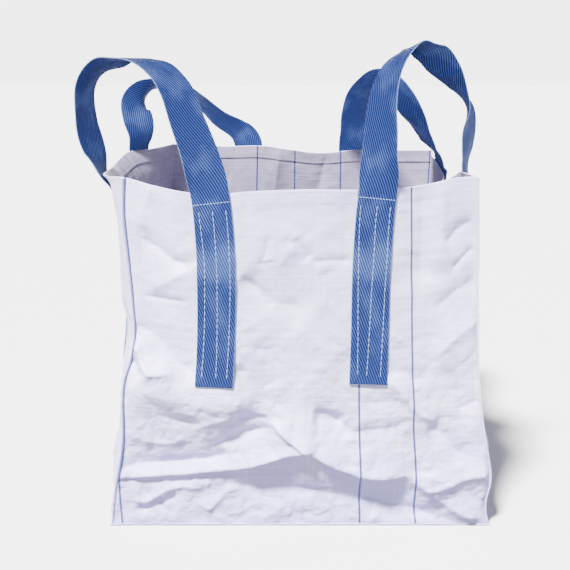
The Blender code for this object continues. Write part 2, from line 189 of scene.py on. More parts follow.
SMALL_FOLD_COUNT = 110        # on each wall
FOLD_DEPTH = 1.6              # multiplies the heights of the folds below

# Folds of the walls. Each has its height in metres (outwards, or inwards if negative),
# how far its flanks reach to the left and the right of its line, and its line, as
# shares of the wall's width and height.
FOLDS = {
    "front": [
        # The long crease where the slack wall sags over the base: a narrow lip on a sharp
        # crease at the left, and a crest over a hollow at the right
        (0.008, 0.016, 0.005, [(-0.04, 0.138), (0.05, 0.149), (0.2, 0.162), (0.33, 0.18),
            (0.4, 0.206), (0.46, 0.231), (0.55, 0.252)]),
        (-0.004, 0.003, 0.01, [(-0.04, 0.13), (0.05, 0.142), (0.2, 0.156), (0.33, 0.172),
            (0.38, 0.184)], 0.0005),
        (-0.01, 0.022, 0.012, [(-0.03, 0.172), (0.1, 0.187), (0.24, 0.2), (0.36, 0.235)]),
        (0.014, 0.05, 0.04, [(-0.03, 0.43), (0.1, 0.41), (0.24, 0.385), (0.42, 0.37)], 0.02),
        (0.008, 0.022, 0.01, [(0.33, 0.18), (0.4, 0.206), (0.46, 0.231), (0.55, 0.252)]),
        (-0.0035, 0.003, 0.01, [(0.34, 0.176), (0.41, 0.202), (0.47, 0.226),
            (0.55, 0.246)], 0.0005),
        (0.018, 0.045, 0.022, [(0.36, 0.37), (0.405, 0.345), (0.459, 0.289), (0.523, 0.24),
            (0.6, 0.19), (0.66, 0.165), (0.76, 0.16), (0.83, 0.15)]),
        (-0.0035, 0.003, 0.012, [(0.38, 0.355), (0.41, 0.332), (0.459, 0.279), (0.523, 0.232),
            (0.6, 0.182), (0.68, 0.155)], 0.0005),
        (0.008, 0.03, 0.016, [(0.78, 0.165), (0.812, 0.137), (0.84, 0.113), (0.905, 0.055),
            (1.0, 0.01)]),
        (0.008, 0.03, 0.014, [(0.8, 0.112), (0.866, 0.121), (0.911, 0.139), (0.957, 0.158),
            (1.04, 0.162)]),
        # The hollow under it, and the small folds at the left of the hollow
        (-0.009, 0.03, 0.022, [(0.24, 0.12), (0.393, 0.12), (0.513, 0.112), (0.613, 0.092),
            (0.72, 0.07), (0.9, 0.02)]),
        (0.005, 0.008, 0.008, [(0.03, 0.085), (0.085, 0.07), (0.135, 0.108), (0.178, 0.122),
            (0.26, 0.112)]),
        (0.004, 0.01, 0.008, [(0.22, 0.085), (0.258, 0.05), (0.299, 0.103), (0.35, 0.125)]),
        (-0.005, 0.01, 0.01, [(0.05, 0.04), (0.112, 0.06), (0.18, 0.095)]),
        # The crumpled cloth above the crease
        (-0.003, 0.008, 0.01, [(0.1, 0.345), (0.17, 0.325), (0.25, 0.318)]),
        (-0.003, 0.006, 0.008, [(0.28, 0.262), (0.34, 0.29), (0.41, 0.305)]),
        (-0.003, 0.008, 0.006, [(0.24, 0.235), (0.3, 0.262), (0.36, 0.272)]),
        (0.003, 0.01, 0.006, [(0.05, 0.262), (0.12, 0.252), (0.19, 0.262)]),
        (0.0025, 0.008, 0.006, [(0.2, 0.3), (0.27, 0.33), (0.34, 0.345)]),
        (-0.006, 0.008, 0.018, [(0.53, 0.352), (0.575, 0.345), (0.62, 0.315)], 0.004),
        # The peak in the middle of the crest
        (-0.006, 0.02, 0.014, [(0.28, 0.25), (0.351, 0.287), (0.44, 0.31)]),
        (-0.006, 0.014, 0.02, [(0.3, 0.335), (0.378, 0.34), (0.47, 0.335)]),
        (-0.005, 0.02, 0.016, [(0.53, 0.335), (0.594, 0.325), (0.64, 0.29)]),
        (-0.004, 0.012, 0.02, [(0.64, 0.296), (0.7, 0.298), (0.756, 0.303), (0.81, 0.325)]),
        (-0.005, 0.014, 0.02, [(0.84, 0.3), (0.873, 0.288), (0.905, 0.253), (0.94, 0.19)]),
        (0.007, 0.025, 0.016, [(0.72, 0.47), (0.772, 0.416), (0.806, 0.362), (0.88, 0.305)]),
        (-0.004, 0.012, 0.012, [(0.93, 0.35), (1.02, 0.38)]),
        # Around the front left strap and the crumpled corner beside it
        (0.01, 0.016, 0.012, [(-0.02, 0.545), (0.021, 0.525), (0.049, 0.483), (0.079, 0.463),
            (0.16, 0.476)]),
        (-0.006, 0.012, 0.012, [(0.0, 0.5), (0.03, 0.475), (0.055, 0.44)]),
        (-0.006, 0.03, 0.02, [(-0.02, 0.6), (0.073, 0.575), (0.11, 0.541), (0.17, 0.495),
            (0.24, 0.46)]),
        (0.004, 0.016, 0.016, [(0.06, 0.7), (0.103, 0.721), (0.158, 0.755), (0.24, 0.805)]),
        (-0.0025, 0.01, 0.01, [(0.13, 0.793), (0.18, 0.798), (0.24, 0.81)]),
        (-0.005, 0.016, 0.014, [(0.03, 0.85), (0.1, 0.826), (0.155, 0.794), (0.23, 0.78)]),
        (0.003, 0.02, 0.012, [(0.09, 1.02), (0.075, 0.96), (0.057, 0.901), (0.05, 0.86)]),
        (-0.0025, 0.006, 0.006, [(0.03, 0.68), (0.089, 0.683), (0.2, 0.684)], 0.001),
        # Between the straps
        (-0.0022, 0.008, 0.008, [(0.52, 0.8), (0.58, 0.799), (0.65, 0.802)]),
        (0.003, 0.035, 0.02, [(0.4, 0.815), (0.445, 0.79), (0.514, 0.885)]),
        (0.0025, 0.03, 0.02, [(0.514, 0.885), (0.549, 0.818), (0.58, 0.76)]),
        (-0.002, 0.005, 0.006, [(0.415, 0.88), (0.405, 0.815), (0.395, 0.795),
            (0.45, 0.8)], 0.001),
        (-0.003, 0.012, 0.012, [(0.485, 0.87), (0.505, 0.835), (0.53, 0.8)], 0.003),
        (-0.003, 0.012, 0.016, [(0.33, 0.765), (0.37, 0.73), (0.43, 0.66)], 0.003),
        (-0.004, 0.025, 0.04, [(0.34, 0.765), (0.403, 0.709), (0.43, 0.679), (0.53, 0.66)]),
        (0.003, 0.04, 0.03, [(0.48, 0.63), (0.548, 0.557), (0.6, 0.48)]),
        (0.003, 0.03, 0.04, [(0.42, 0.61), (0.352, 0.544), (0.32, 0.48)]),
        # Right of the front right strap
        (-0.005, 0.045, 0.022, [(0.838, 1.03), (0.838, 0.9), (0.835, 0.69)]),
        (0.004, 0.03, 0.03, [(0.9, 1.02), (0.895, 0.85), (0.87, 0.74)], 0.006),
        (-0.004, 0.014, 0.014, [(0.9, 0.82), (0.94, 0.86), (0.99, 0.885)]),
        (-0.003, 0.006, 0.008, [(0.92, 0.745), (0.96, 0.785), (0.99, 0.81)], 0.001),
        (0.005, 0.025, 0.02, [(1.01, 0.61), (0.945, 0.567), (0.86, 0.5)]),
        (-0.004, 0.03, 0.02, [(1.01, 0.725), (0.94, 0.69), (0.87, 0.64)]),
        (-0.004, 0.016, 0.016, [(0.73, 0.47), (0.788, 0.468), (0.86, 0.43)]),
    ],
    "right": [
        (0.012, 0.05, 0.02, [(-0.04, 0.16), (0.1, 0.17), (0.3, 0.2), (0.5, 0.24), (0.72, 0.19),
            (1.04, 0.15)]),
        (-0.008, 0.03, 0.03, [(0.1, 0.08), (0.4, 0.12), (0.8, 0.09)]),
        (0.006, 0.03, 0.02, [(0.42, 0.9), (0.5, 0.7), (0.55, 0.4), (0.5, 0.24)]),
        (0.006, 0.025, 0.025, [(0.6, 0.85), (0.7, 0.6), (0.72, 0.38)]),
    ],
    "back": [
        (0.012, 0.05, 0.02, [(-0.04, 0.15), (0.2, 0.18), (0.45, 0.15), (0.62, 0.22), (0.8, 0.19),
            (1.04, 0.14)]),
        (-0.008, 0.03, 0.03, [(0.15, 0.1), (0.45, 0.085), (0.85, 0.11)]),
        (0.006, 0.025, 0.02, [(0.42, 0.6), (0.5, 0.42), (0.62, 0.22)]),
        (-0.006, 0.03, 0.03, [(0.58, 1.02), (0.6, 0.85), (0.55, 0.65)]),
        (0.005, 0.025, 0.025, [(0.4, 1.02), (0.43, 0.86), (0.4, 0.7)]),
    ],
    "left": [
        (0.012, 0.05, 0.02, [(-0.04, 0.15), (0.2, 0.2), (0.5, 0.17), (0.8, 0.15), (1.04, 0.135)]),
        (-0.008, 0.03, 0.03, [(0.15, 0.1), (0.5, 0.09), (0.9, 0.08)]),
        (0.006, 0.03, 0.02, [(0.44, 0.95), (0.48, 0.7), (0.42, 0.4)]),
        # Beside the front left corner, where the wall swells in front of the strap
        (0.008, 0.04, 0.035, [(0.9, 0.55), (0.9, 0.75), (0.88, 1.04)]),
        (-0.01, 0.08, 0.05, [(0.765, 0.25), (0.765, 0.55), (0.765, 1.03)]),
    ],
}

# Marker stripes woven into each wall, as shares of its width
STRIPES = {
    "front": (0.006, 0.659, 0.808),
    "right": (0.20, 0.55, 0.994),
    "back": (0.008, 0.348, 0.524, 0.668),
    "left": (0.375, 0.80),
}
STRIPE_WIDTH = 0.0044
CORNER_STRIPE = 0.01          # a stripe nearer to the left corner than this strays
STRIPE_DRIFT = 0.016          # how far it strays at the foot
NO_STRIPE = 1.0               # a distance far from any stripe

# Colours, as linear red, green and blue: from a dark one to a light one
FABRIC_COLOURS = (0.51, 0.480, 0.84), (0.75, 0.715, 1.0)
# The inside's colours: the same fabric made darker, painted shade of the bag's shaded inside
SHADED_INNER_FABRIC_COLOURS = (0.205, 0.186, 0.268), (0.32, 0.295, 0.42)
STRIPE_COLOUR = (0.030, 0.040, 0.17)
# The webbing: its colour on the ribs, and near-black painted shade in the grooves between them
RIB_COLOURS = (0.040, 0.070, 0.26), (0.105, 0.165, 0.42)
GROOVE_SHADE_COLOURS = (0.003, 0.007, 0.035), (0.010, 0.022, 0.090)
EDGE_COLOUR = (0.30, 0.42, 0.75)
THREAD_COLOURS = (0.20, 0.31, 0.64), (0.50, 0.60, 0.90)
# The inside stitches' colours, as dark as the inside fabric: painted shade
SHADED_INNER_THREAD_COLOURS = (0.20, 0.18, 0.26), (0.31, 0.285, 0.405)
FLOOR_COLOUR = (0.80, 0.80, 0.805)
FLOOR_REACH = 60.0            # from the bag's middle to each edge of the floor

# Lamps: place, power, softness in degrees, and which pieces they light. The webbing
# has lamps of its own, which the other pieces and the floor don't get.
LAMP_AIM = (0.0, 0.0, 0.40)
KEY_PLACE = (-1.0, -1.5, 3.4)
LAMPS = {
    "key": (KEY_PLACE, 24.0, 10.0, "all_but_webbing"),
    "fill": ((1.6, -3.0, 0.8), 0.3, 40.0, "all_but_webbing"),
    "back_light": ((0.4, 3.0, 2.6), 7.0, 12.0, "fabric_only"),
    "webbing_key": (KEY_PLACE, 5.5, 12.0, "webbing_only"),
    "webbing_fill": ((-0.2, -3.0, 0.5), 12.5, 50.0, "webbing_only"),
    "webbing_back_light": ((0.6, 3.0, 0.7), 5.0, 50.0, "webbing_only"),
}


# Camera

def make_camera():
    """The photo's view: from the front, a little above the rim, looking down."""
    camera = bpy.data.cameras.new("camera")
    camera.sensor_width = 36.0
    camera.lens = 61.26
    obj = add_object("camera", camera)
    obj.location = (-0.030, -2.165, 0.885)
    obj.rotation_euler = (radians(90 - 12.4), 0.0, 0.0)
    bpy.context.scene.camera = obj


def add_object(name, data):
    """A new object in the scene."""
    obj = bpy.data.objects.new(name, data)
    bpy.context.scene.collection.objects.link(obj)
    return obj


# Curves and noise

def curve_through(points, steps=10):
    """A smooth curve through the rows of points, sampled as an array of rows.

    Each row's first three numbers are a place, and any others are carried along.
    """
    p = np.array(points, dtype=float)
    length = np.linalg.norm(np.diff(p[:, :3], axis=0), axis=1)[:, None]
    slope = np.diff(p, axis=0) / length
    tangent = np.empty_like(p)
    tangent[0] = slope[0]
    tangent[-1] = slope[-1]
    tangent[1:-1] = (slope[:-1] * length[1:] + slope[1:] * length[:-1]) / (length[:-1] + length[1:])
    samples = []
    for i, span in enumerate(length):
        for h in np.arange(steps) / steps:
            samples.append((2 * h**3 - 3 * h**2 + 1) * p[i] + (3 * h**2 - 2 * h**3) * p[i + 1]
                           + span * ((h**3 - 2 * h**2 + h) * tangent[i]
                                     + (h**3 - h**2) * tangent[i + 1]))
    samples.append(p[-1])
    return np.array(samples)


def at(curve, fractions):
    """The rows at fractions of the curve's length, for an array of any shape."""
    run = np.r_[0.0, np.cumsum(np.linalg.norm(np.diff(curve[:, :3], axis=0), axis=1))]
    where = np.asarray(fractions) * run[-1]
    return np.stack([np.interp(where, run, column) for column in curve.T], axis=-1)


def unit(vectors):
    """Vectors of length 1, along the last axis."""
    return vectors / np.linalg.norm(vectors, axis=-1, keepdims=True)


def soft_noise(x, y, cell, seed):
    """Smooth noise from -1 to 1 whose bumps are about one cell wide."""
    size = 97
    values = np.random.default_rng(seed).uniform(-1, 1, (size, size))
    column, row = x / cell + 40.0, y / cell + 40.0
    i, j = np.floor(column).astype(int), np.floor(row).astype(int)
    a, b = column - i, row - j
    a, b = a * a * (3 - 2 * a), b * b * (3 - 2 * b)
    near = values[i % size, j % size] * (1 - a) + values[(i + 1) % size, j % size] * a
    far = values[i % size, (j + 1) % size] * (1 - a) + values[(i + 1) % size, (j + 1) % size] * a
    return near * (1 - b) + far * b


def fold(x, y, height, reach_left, reach_right, line, roundness=0.0022):
    """A crease along a line of (x, y) points: a crest with a flank at each side."""
    line = np.array(line, dtype=float)
    lengths = np.linalg.norm(np.diff(line, axis=0), axis=1)
    total = lengths.sum()
    nearest = np.full(x.shape, 9.0)
    side = np.zeros(x.shape)
    along = np.zeros(x.shape)
    before = 0.0
    for (x0, y0), (x1, y1), length in zip(line[:-1], line[1:], lengths):
        ex, ey = (x1 - x0) / length, (y1 - y0) / length
        run = np.clip((x - x0) * ex + (y - y0) * ey, 0.0, length)
        off_x, off_y = x - x0 - run * ex, y - y0 - run * ey
        distance = np.hypot(off_x, off_y)
        closer = distance < nearest
        nearest = np.where(closer, distance, nearest)
        side = np.where(closer, ex * off_y - ey * off_x, side)
        along = np.where(closer, before + run, along)
        before += length
    reach = np.where(side > 0, reach_left, reach_right)
    ends = np.clip(np.minimum(along, total - along) / (0.22 * total), 0, 1)
    ends = ends * ends * (3 - 2 * ends)
    return height * ends * np.exp(-(np.hypot(nearest, roundness) - roundness) / reach)


# Walls

CORNERS = {name: curve_through(points) for name, points in CORNER_LINES.items()}
RIMS = {}
for wall, (left, right, _, _, middle) in WALLS.items():
    ends = CORNER_LINES[left][-1], CORNER_LINES[right][-1]
    RIMS[wall] = curve_through([ends[0], *middle, ends[1]])


def smooth_wall(wall, u, t):
    """Places on a wall: u from its left to its right corner, t from foot to rim."""
    left, right, bulge, wave_fade, _ = WALLS[wall]
    left_line, right_line, rim = CORNERS[left], CORNERS[right], RIMS[wall]
    across, up = u[..., None], t[..., None]
    foot = (1 - across) * left_line[0] + across * right_line[0]
    top = (1 - across) * rim[0] + across * rim[-1]
    patch = (1 - up) * foot + up * top + up**wave_fade * (at(rim, u) - top)
    left_bend = at(left_line, t) - (1 - up) * left_line[0] - up * left_line[-1]
    right_bend = at(right_line, t) - (1 - up) * right_line[0] - up * right_line[-1]
    bends = (1 - across)**BEND_FADE * left_bend + across**BEND_FADE * right_bend
    outward = unit(np.cross(right_line[0] - left_line[0], (0, 0, 1)))
    swell = bulge * np.sin(pi * u) * np.sin(pi * t)
    return patch + bends + swell[..., None] * outward


def wall_normal(wall, u, t, step=0.004):
    """The smooth wall's outward directions at places."""
    low_u, high_u = np.clip(u - step, 0, 1), np.clip(u + step, 0, 1)
    low_t, high_t = np.clip(t - step, 0, 1), np.clip(t + step, 0, 1)
    along = smooth_wall(wall, high_u, t) - smooth_wall(wall, low_u, t)
    up = smooth_wall(wall, u, high_t) - smooth_wall(wall, u, low_t)
    return unit(np.cross(along, up))


def random_folds(wall, count):
    """Small creases scattered over a wall, more of them low down."""
    rng = np.random.default_rng(list(WALLS).index(wall) + 11)
    folds = []
    for _ in range(count):
        x, y = rng.uniform(0, 1), rng.uniform(0, 1)**1.6
        angle = rng.normal(0, 0.55) if rng.random() < 0.7 else rng.uniform(0, pi)
        half = rng.uniform(0.02, 0.075) / 2
        dx, dy = half * cos(angle) / PANEL_SIDE, half * sin(angle) / WALL_HEIGHT
        bend = rng.normal(0, 0.008)
        height = rng.choice((-1, 1)) * rng.uniform(0.0010, 0.0034) * (1.25 - 0.9 * y)
        reach = rng.uniform(0.004, 0.012)
        folds.append((height, reach, reach, [(x - dx, y - dy), (x, y + bend), (x + dx, y + dy)]))
    return folds


SMALL_FOLDS = {wall: random_folds(wall, SMALL_FOLD_COUNT) for wall in WALLS}


def folds_height(folds, x, y):
    """The height of all the folds at places of a flat wall, in metres."""
    height = np.zeros(x.shape)
    for crest, left_reach, right_reach, line, *roundness in folds:
        metres = [(a * PANEL_SIDE, b * WALL_HEIGHT) for a, b in line]
        height = height + fold(x, y, crest, left_reach, right_reach, metres, *roundness)
    return height


def leg_middle(leg, t):
    """Where a leg's middle is, as a share of its wall's width."""
    _, u_bottom, u_rim, bow = leg
    share = np.clip((t - LEG_BOTTOM) / (1 - LEG_BOTTOM), 0, 1)
    return u_bottom + share * (u_rim - u_bottom) + BOW_PEAK * bow * share**2 * (1 - share)


def under_straps(wall, u, t):
    """1 where a sewn leg holds the fabric flat, 0 away from the legs."""
    covered = np.zeros(u.shape)
    for first, second, _ in LOOPS.values():
        for leg in (first, second):
            if leg[0] == wall:
                beside = np.abs(u - leg_middle(leg, t)) * PANEL_SIDE - HALF_WEBBING
                below = (LEG_BOTTOM - t) * WALL_HEIGHT
                away = np.clip(np.maximum(beside, below) / 0.02, 0, 1)
                covered = np.maximum(covered, 1 - away)
    return covered * covered * (3 - 2 * covered)


def relief(wall, u, t, fine=True):
    """How far the slack fabric stands out from the smooth wall.

    Fine relief, which the webbing holds flat where it is sewn, can be left out.
    """
    x, y = u * PANEL_SIDE, t * WALL_HEIGHT
    seed = 10 * list(WALLS).index(wall)
    swell = 0.0030 * soft_noise(x, y, 0.17, seed + 1) + 0.0014 * soft_noise(x, y, 0.07, seed + 2)
    swell = swell + FOLD_DEPTH * folds_height(FOLDS[wall], x, y)
    if fine:
        small = folds_height(SMALL_FOLDS[wall], x, y)
        small = small + crumple(x, y, seed) * (0.7 + 1.4 * np.clip(1 - t / 0.65, 0, 1))
        swell = swell + small * (1 - under_straps(wall, u, t))
    # The corners, the foot and the rim are held by their seams and the hem
    held = np.clip(np.minimum(u, 1 - u) / 0.012, 0.12, 1)
    held = held * np.clip(t / 0.03, 0.05, 1)
    return swell * held


def crumple(x, y, seed):
    """Crumpled coated cloth: soft swells that meet in sharp creases, at four sizes."""
    height = np.zeros(x.shape)
    for size, depth in ((0.105, 0.0042), (0.048, 0.0022), (0.021, 0.0009), (0.009, 0.00035)):
        seed += 3
        ridges = np.hypot(soft_noise(x, y, size, seed), 0.035)
        height = height + depth * (ridges - 0.4)
    return height


def slack_wall(wall, u, t, fine=True):
    """Places on a wall's fabric with its folds."""
    out = relief(wall, u, t, fine)[..., None] * wall_normal(wall, u, t)
    return smooth_wall(wall, u, t) + out


def wall_sheet(wall):
    """The grid of a wall's vertices, with its hem turned in at the rim."""
    across = np.linspace(EDGE_GAP, 1 - EDGE_GAP, WALL_COLUMNS + 1)
    u, t = np.meshgrid(across, np.linspace(FOOT_GAP, 1.0, WALL_ROWS + 1), indexing="ij")
    places = slack_wall(wall, u, t)
    rim = places[:, -1]
    normal = wall_normal(wall, u[:, -1], t[:, -1])
    up = unit(places[:, -1] - places[:, -6])
    rows = [places]
    heights = [t * PANEL_SIDE]
    for angle in np.radians(HEM_TURNS):
        shift = HEM_FOLD * (sin(angle) * up - (1 - cos(angle)) * normal)
        rows.append((rim + shift)[:, None])
        heights.append(np.full((WALL_COLUMNS + 1, 1), PANEL_SIDE + HEM_FOLD * angle))
    for down in np.linspace(0.002, HEM_DEPTH, HEM_ROWS):
        share = np.full(WALL_COLUMNS + 1, 1 - down / WALL_HEIGHT)
        place = slack_wall(wall, u[:, -1], share)
        gap = 2 * HEM_FOLD - 0.00025 * down / HEM_DEPTH
        wave = 0.00005 * soft_noise(u[:, -1] * PANEL_SIDE, share, 0.035, 77)
        rows.append((place - (gap + wave[:, None]) * normal)[:, None])
        heights.append(np.full((WALL_COLUMNS + 1, 1), PANEL_SIDE + 0.006 + down))
    return np.concatenate(rows, axis=1), u[:, :1], np.concatenate(heights, axis=1)


# Materials

class Value:
    """A number in a shader, which can be added, subtracted, multiplied or put in a maths node."""

    def __init__(self, tree, socket):
        self.tree = tree
        self.socket = socket

    def maths(self, operation, *others):
        """The result of a maths node on this number and any others."""
        made = self.tree.nodes.new("ShaderNodeMath")
        made.operation = operation
        for value, socket in zip((self, *others), made.inputs):
            connect(self.tree, value, socket)
        return Value(self.tree, made.outputs[0])

    def __add__(self, other):
        return self.maths("ADD", other)

    def __sub__(self, other):
        return self.maths("SUBTRACT", other)

    def __mul__(self, other):
        return self.maths("MULTIPLY", other)


def connect(tree, source, target):
    """Links a value or an output to an input, or sets the input to a number or a colour."""
    if isinstance(source, Value):
        source = source.socket
    if isinstance(source, bpy.types.NodeSocket):
        tree.links.new(source, target)
    elif isinstance(source, tuple):
        target.default_value = (*source, 1.0)
    else:
        target.default_value = source


def new_material(name):
    """A material with only its output and Principled shader."""
    material = bpy.data.materials.new(name)
    material.use_nodes = True
    tree = material.node_tree
    return material, tree, tree.nodes["Principled BSDF"]


def mix_colour(tree, share, first, second):
    """A mix of two colours."""
    made = tree.nodes.new("ShaderNodeMix")
    made.data_type = "RGBA"
    for name, value in (("Factor", share), ("A", first), ("B", second)):
        connect(tree, value, made.inputs[name])
    return made.outputs["Result"]


def noise(tree, vector, scale, detail=2.0):
    """A noise texture's value, about 0.5 on average."""
    made = tree.nodes.new("ShaderNodeTexNoise")
    made.inputs["Scale"].default_value = scale
    made.inputs["Detail"].default_value = detail
    connect(tree, vector, made.inputs["Vector"])
    return Value(tree, made.outputs["Fac"])


def flat_sheet(tree):
    """Where a point is on the flat sheet, in metres: both numbers, then each."""
    flat = tree.nodes.new("ShaderNodeUVMap")
    flat.uv_map = "flat"
    split = tree.nodes.new("ShaderNodeSeparateXYZ")
    connect(tree, flat.outputs[0], split.inputs[0])
    return flat.outputs[0], Value(tree, split.outputs[0]), Value(tree, split.outputs[1])


def scaled(tree, vector, factors):
    """A vector multiplied along its three axes."""
    made = tree.nodes.new("ShaderNodeVectorMath")
    made.operation = "MULTIPLY"
    made.inputs[1].default_value = factors
    connect(tree, vector, made.inputs[0])
    return made.outputs[0]


def bump(tree, height, distance, strength):
    """A shading normal from a relief."""
    made = tree.nodes.new("ShaderNodeBump")
    made.inputs["Strength"].default_value = strength
    made.inputs["Distance"].default_value = distance
    connect(tree, height, made.inputs["Height"])
    return made.outputs["Normal"]


def fabric_material(name, dark, light):
    """Coated woven polypropylene: flat tapes, streaks, blue marker stripes."""
    material, tree, shader = new_material(name)
    flat, x, y = flat_sheet(tree)
    across = noise(tree, scaled(tree, flat, (1 / TAPE, 4.0, 1.0)), 0.6) - 0.5
    up = noise(tree, scaled(tree, flat, (4.0, 1 / TAPE, 1.0)), 0.6) - 0.5
    streaks = across * 0.55 + up
    cloud = noise(tree, flat, 9.0, detail=4.0) - 0.5
    # Painted shade: the fabric is darker towards the foot, where less light falls
    foot_shade_lift = y.maths("MINIMUM", FOOT_SHADE_HEIGHT) * (FOOT_SHADE / FOOT_SHADE_HEIGHT)
    tone = streaks * 1.3 + cloud * 1.3 + foot_shade_lift + (0.55 - FOOT_SHADE)
    fabric = mix_colour(tree, tone, dark, light)

    stripes = tree.nodes.new("ShaderNodeAttribute")
    stripes.attribute_name = "stripe_distance"
    wave_x = (x * (pi / TAPE)).maths("SINE")
    wave_y = (y * (pi / TAPE)).maths("SINE")
    distance = wave_y * 0.0005 + Value(tree, stripes.outputs["Fac"])
    on_stripe = distance.maths("LESS_THAN", STRIPE_WIDTH / 2)
    colour = mix_colour(tree, on_stripe, fabric, STRIPE_COLOUR)
    connect(tree, colour, shader.inputs["Base Color"])

    ridges = (noise(tree, flat, 14.0, detail=4.0) - 0.5).maths("ABSOLUTE")
    low_down = (y * -1.5 + 1.15).maths("MAXIMUM", 0.25)
    height = wave_x * wave_y * 0.35 + streaks * 2.0 + ridges * low_down * CREASES
    connect(tree, bump(tree, height, 0.0003, 0.9), shader.inputs["Normal"])
    shader.inputs["Roughness"].default_value = 0.46
    shader.inputs["Specular IOR Level"].default_value = 0.35
    return material


def webbing_material():
    """Blue twill webbing with diagonal ribs, worn patches, a band of painted highlight, painted shade
    in its grooves and a paler edge.
    """
    material, tree, shader = new_material("webbing")
    flat, x, y = flat_sheet(tree)
    rib = ((y * RIB_SLOPE + x) * (2 * pi / RIB_PITCH)).maths("SINE")
    crest = (rib * 0.5 + 0.5).maths("POWER", 1.6)
    yarn = (y * (2 * pi / YARN_PITCH)).maths("SINE")
    grain = noise(tree, scaled(tree, flat, (900.0, 260.0, 1.0)), 1.0)
    # Painted shade: the colour darkens from the rib crests into the grooves
    tone = crest * 0.9 + (grain - 0.4) * 0.5

    patches = noise(tree, scaled(tree, flat, (16.0, 11.0, 1.0)), 1.0, detail=5.0)
    off_band = (y - HIGHLIGHT_BAND) * (1 / HIGHLIGHT_REACH)
    off_band = off_band * off_band
    band = (off_band * off_band + 1.0).maths("POWER", -1.0)
    # Faded patches at random, and a band of painted highlight across the first leg
    patches_and_highlight = (patches - 0.48) * 4.0 + band * 0.9
    rib_colour = mix_colour(tree, patches_and_highlight, *RIB_COLOURS)
    groove_shade_colour = mix_colour(tree, patches_and_highlight, *GROOVE_SHADE_COLOURS)
    colour = mix_colour(tree, tone, groove_shade_colour, rib_colour)
    edge = x.maths("ABSOLUTE").maths("GREATER_THAN", HALF_WEBBING - PALE_EDGE)
    colour = mix_colour(tree, edge * 0.45, colour, EDGE_COLOUR)
    connect(tree, colour, shader.inputs["Base Color"])
    connect(tree, bump(tree, yarn * 0.25 + crest, 0.0004, 0.6), shader.inputs["Normal"])
    shader.inputs["Roughness"].default_value = 0.65
    shader.inputs["Specular IOR Level"].default_value = 0.04
    return material


def thread_material(name, dark, light):
    """Polyester thread with a twist."""
    material, tree, shader = new_material(name)
    where = tree.nodes.new("ShaderNodeTexCoord")
    grain = noise(tree, where.outputs["Object"], 900.0)
    colour = mix_colour(tree, grain, dark, light)
    connect(tree, colour, shader.inputs["Base Color"])
    connect(tree, bump(tree, grain, 0.0003, 0.5), shader.inputs["Normal"])
    shader.inputs["Roughness"].default_value = 0.45
    return material


# Meshes

def flat_mesh(name, places, faces, flat, material):
    """A smooth mesh with a UV map in metres of the flat sheet."""
    mesh = bpy.data.meshes.new(name)
    mesh.from_pydata(places.reshape(-1, 3).tolist(), [], faces)
    layer = mesh.uv_layers.new(name="flat")
    corners = np.empty(len(mesh.loops), dtype=int)
    mesh.loops.foreach_get("vertex_index", corners)
    layer.data.foreach_set("uv", flat.reshape(-1, 2)[corners].ravel())
    mesh.shade_smooth()
    mesh.materials.append(material)
    return add_object(name, mesh)


def grid_mesh(name, places, flat, material):
    """An open sheet from a grid of places."""
    columns, rows = places.shape[:2]
    number = np.arange(columns * rows).reshape(columns, rows)
    faces = np.stack([number[:-1, :-1], number[1:, :-1], number[1:, 1:], number[:-1, 1:]], axis=-1)
    return flat_mesh(name, places, faces.reshape(-1, 4).tolist(), flat, material)


def tube_mesh(name, rings, flat, material):
    """A closed skin through rings of places, with its two ends filled."""
    rows, around = rings.shape[:2]
    number = np.arange(rows * around).reshape(rows, around)
    ahead = np.roll(number, -1, axis=1)
    sides = np.stack([number[:-1], ahead[:-1], ahead[1:], number[1:]], axis=-1).reshape(-1, 4)
    faces = sides.tolist() + [number[0, ::-1].tolist(), number[-1].tolist()]
    return flat_mesh(name, rings, faces, flat, material)


def set_stripe_distance(obj, distances):
    """How far each vertex is from the nearest marker stripe, for the fabric's look."""
    stripe = obj.data.attributes.new("stripe_distance", "FLOAT", "POINT")
    stripe.data.foreach_set("value", distances)


def thicken(obj):
    """The fabric's thickness, half on each side of its middle."""
    skin = obj.modifiers.new("thickness", "SOLIDIFY")
    skin.thickness = FABRIC
    skin.offset = 0.0
    return skin


def make_fabric(material, shaded_inner_material):
    """The four walls and their hems, one loft round the bag."""
    order = ("front", "right", "back", "left")
    grids, flats, distances = [], [], []
    for number, wall in enumerate(order):
        places, across, heights = wall_sheet(wall)
        metres = across * PANEL_SIDE
        flat = np.stack(np.broadcast_arrays(metres + number * PANEL_SIDE, heights), axis=-1)
        drift = STRIPE_DRIFT * np.clip(1 - heights / 0.10, 0, 1)
        gaps = []
        for share in STRIPES[wall]:
            near_corner = share < CORNER_STRIPE
            gaps.append(np.abs(metres - share * PANEL_SIDE - near_corner * drift))
        grids.append(places)
        flats.append(flat)
        distances.append(np.min(gaps, axis=0))
    places = np.concatenate(grids)
    obj = grid_mesh("bag_fabric", places, np.concatenate(flats), material)
    set_stripe_distance(obj, np.concatenate(distances).ravel())
    seam = bmesh.new()
    seam.from_mesh(obj.data)
    columns, rows = places.shape[:2]
    seam.verts.ensure_lookup_table()
    last = (columns - 1) * rows
    for row in range(rows - 1):
        loop = (last + row, row, row + 1, last + row + 1)
        face = seam.faces.new([seam.verts[i] for i in loop])
        face.smooth = True
    seam.to_mesh(obj.data)
    seam.free()
    # The inner faces and the hem get the darker copy of the fabric: painted shade inside the bag
    obj.data.materials.append(shaded_inner_material)
    turned_in = WALL_ROWS + len(HEM_TURNS)
    for face in obj.data.polygons:
        if min(vertex % rows for vertex in face.vertices) >= turned_in:
            face.material_index = 1
    skin = thicken(obj)
    skin.material_offset = 1
    skin.material_offset_rim = 1
    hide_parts(*[f"{wall}_panel" for wall in order])
    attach(obj, "bag")
    return obj


